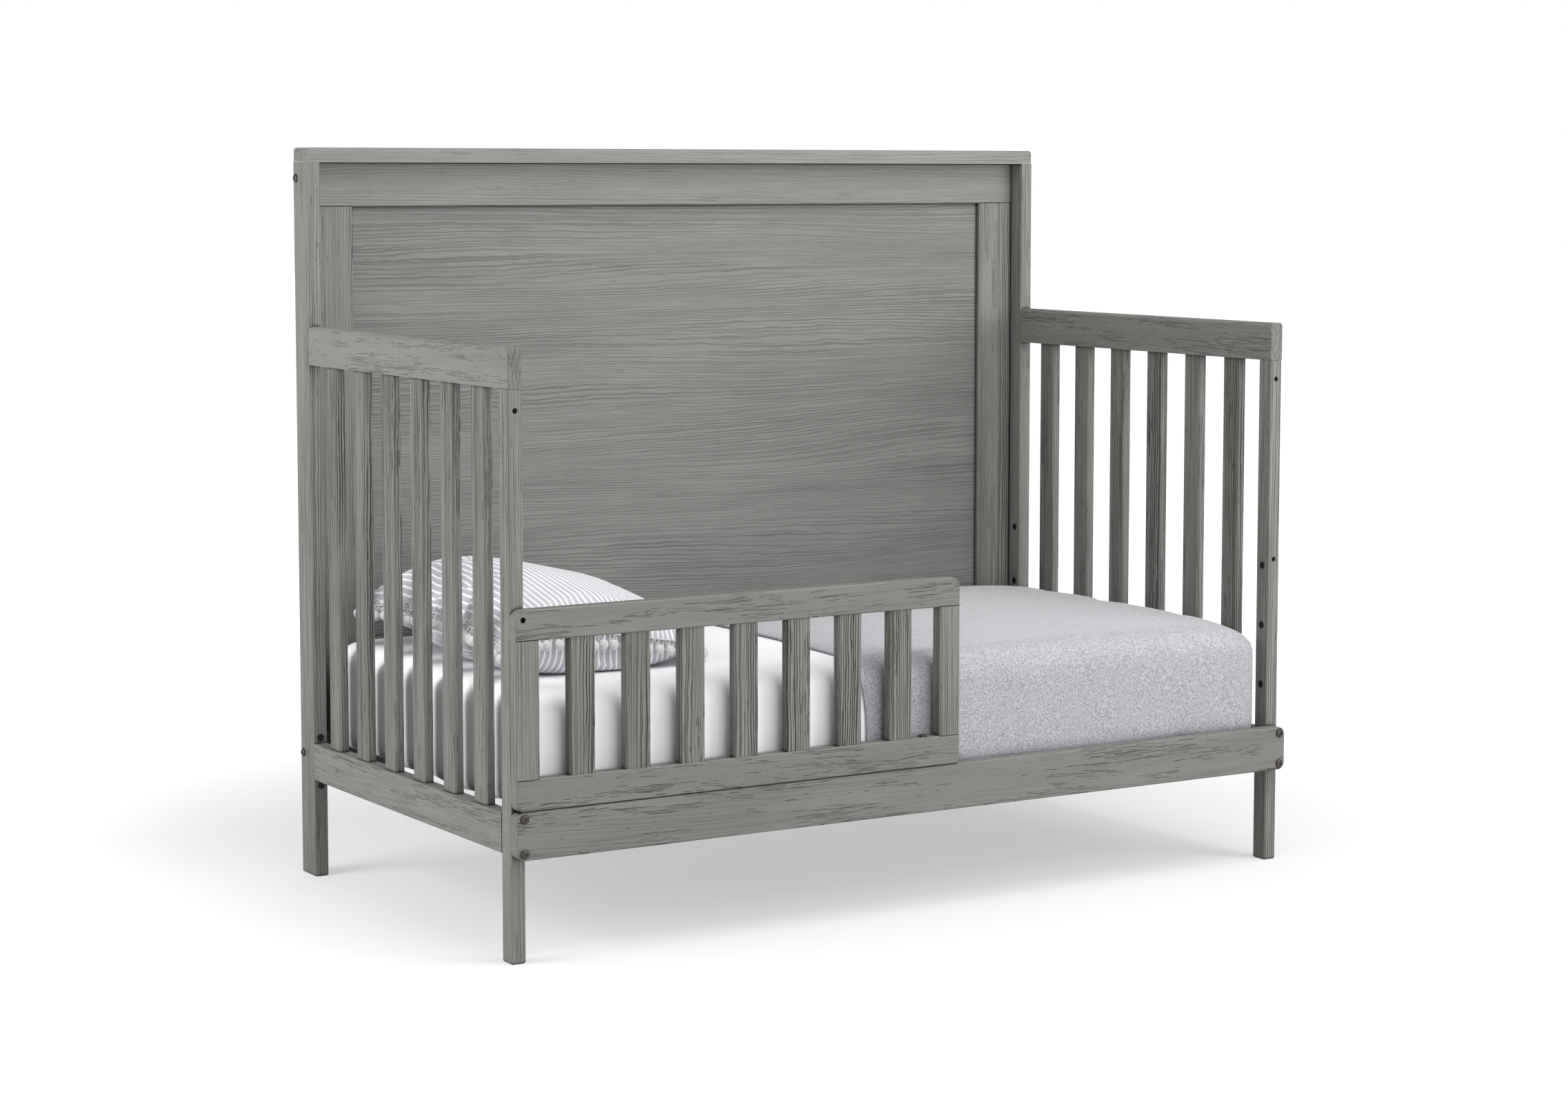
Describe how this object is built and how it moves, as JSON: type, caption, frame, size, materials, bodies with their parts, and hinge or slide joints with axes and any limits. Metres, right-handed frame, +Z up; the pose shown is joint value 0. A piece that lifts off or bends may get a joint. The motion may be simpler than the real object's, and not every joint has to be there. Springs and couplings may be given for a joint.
{
  "type": "toddler bed",
  "caption": "Wooden toddler bed made from a convertible crib: panelled headboard along the back, slatted end panels, low front rail, short slatted guard, mattress and bedding.",
  "frame": {"origin": "on the floor, at the centre of the bed's footprint", "axes": "+X along the bed's length, away from the pillow; +Y towards the headboard panel, with the open entry side facing -Y; +Z up"},
  "size_m": [1.3798, 0.7544, 1.14],
  "materials": {
    "grey_wood": "grey-brown stain with visible grain, satin",
    "bolt_steel": "zinc-plated steel",
    "support_steel": "powder coat, satin",
    "mattress_cover": "woven ticking",
    "white_cotton": "plain cotton",
    "grey_fleece": "heather fleece",
    "striped_cotton": "cotton with narrow grey and white stripes",
    "white_trim": "cotton cord and pom-poms"
  },
  "bodies": {
    "bed_frame": {"end_left_bottom_rail": "grey_wood", "end_left_slat_1": "grey_wood", "end_left_slat_2": "grey_wood", "end_left_slat_3": "grey_wood", "end_left_slat_4": "grey_wood", "end_left_slat_5": "grey_wood", "end_left_slat_6": "grey_wood", "end_left_top_rail": "grey_wood", "end_right_bottom_rail": "grey_wood", "end_right_slat_1": "grey_wood", "end_right_slat_2": "grey_wood", "end_right_slat_3": "grey_wood", "end_right_slat_4": "grey_wood", "end_right_slat_5": "grey_wood", "end_right_slat_6": "grey_wood", "end_right_top_rail": "grey_wood", "front_post_left": "grey_wood", "front_post_right": "grey_wood", "front_rail": "grey_wood", "front_rail_bolts": "bolt_steel", "guard_bolts": "bolt_steel", "guard_bottom_rail": "grey_wood", "guard_slat_1": "grey_wood", "guard_slat_2": "grey_wood", "guard_slat_3": "grey_wood", "guard_slat_4": "grey_wood", "guard_slat_5": "grey_wood", "guard_slat_6": "grey_wood", "guard_slat_7": "grey_wood", "guard_stile_left": "grey_wood", "guard_stile_right": "grey_wood", "guard_top_rail": "grey_wood", "headboard_bolts": "bolt_steel", "headboard_bottom_rail": "grey_wood", "headboard_cap": "grey_wood", "headboard_panel": "grey_wood", "headboard_post_left": "grey_wood", "headboard_post_right": "grey_wood", "headboard_stile_left": "grey_wood", "headboard_stile_right": "grey_wood", "headboard_top_rail": "grey_wood", "support_angle_back": "support_steel", "support_angle_front": "support_steel", "support_angle_left": "support_steel", "support_angle_right": "support_steel", "support_bolts": "bolt_steel", "support_cross_bars": "support_steel", "support_tie_bars": "support_steel"},
    "mattress": {"mattress": "mattress_cover", "fitted_sheet": "white_cotton", "blanket": "grey_fleece"},
    "pillow": {"pillow": "striped_cotton", "pillow_trim": "white_trim"}
  },
  "joints": [
    {"name": "mattress_lift", "type": "slide", "parent": "bed_frame", "child": "mattress", "axis": [0, 0, 1], "range_m": [0, 0.7]},
    {"name": "pillow_lift", "type": "slide", "parent": "mattress", "child": "pillow", "axis": [0, 0, 1], "range_m": [0, 0.8]}
  ]
}
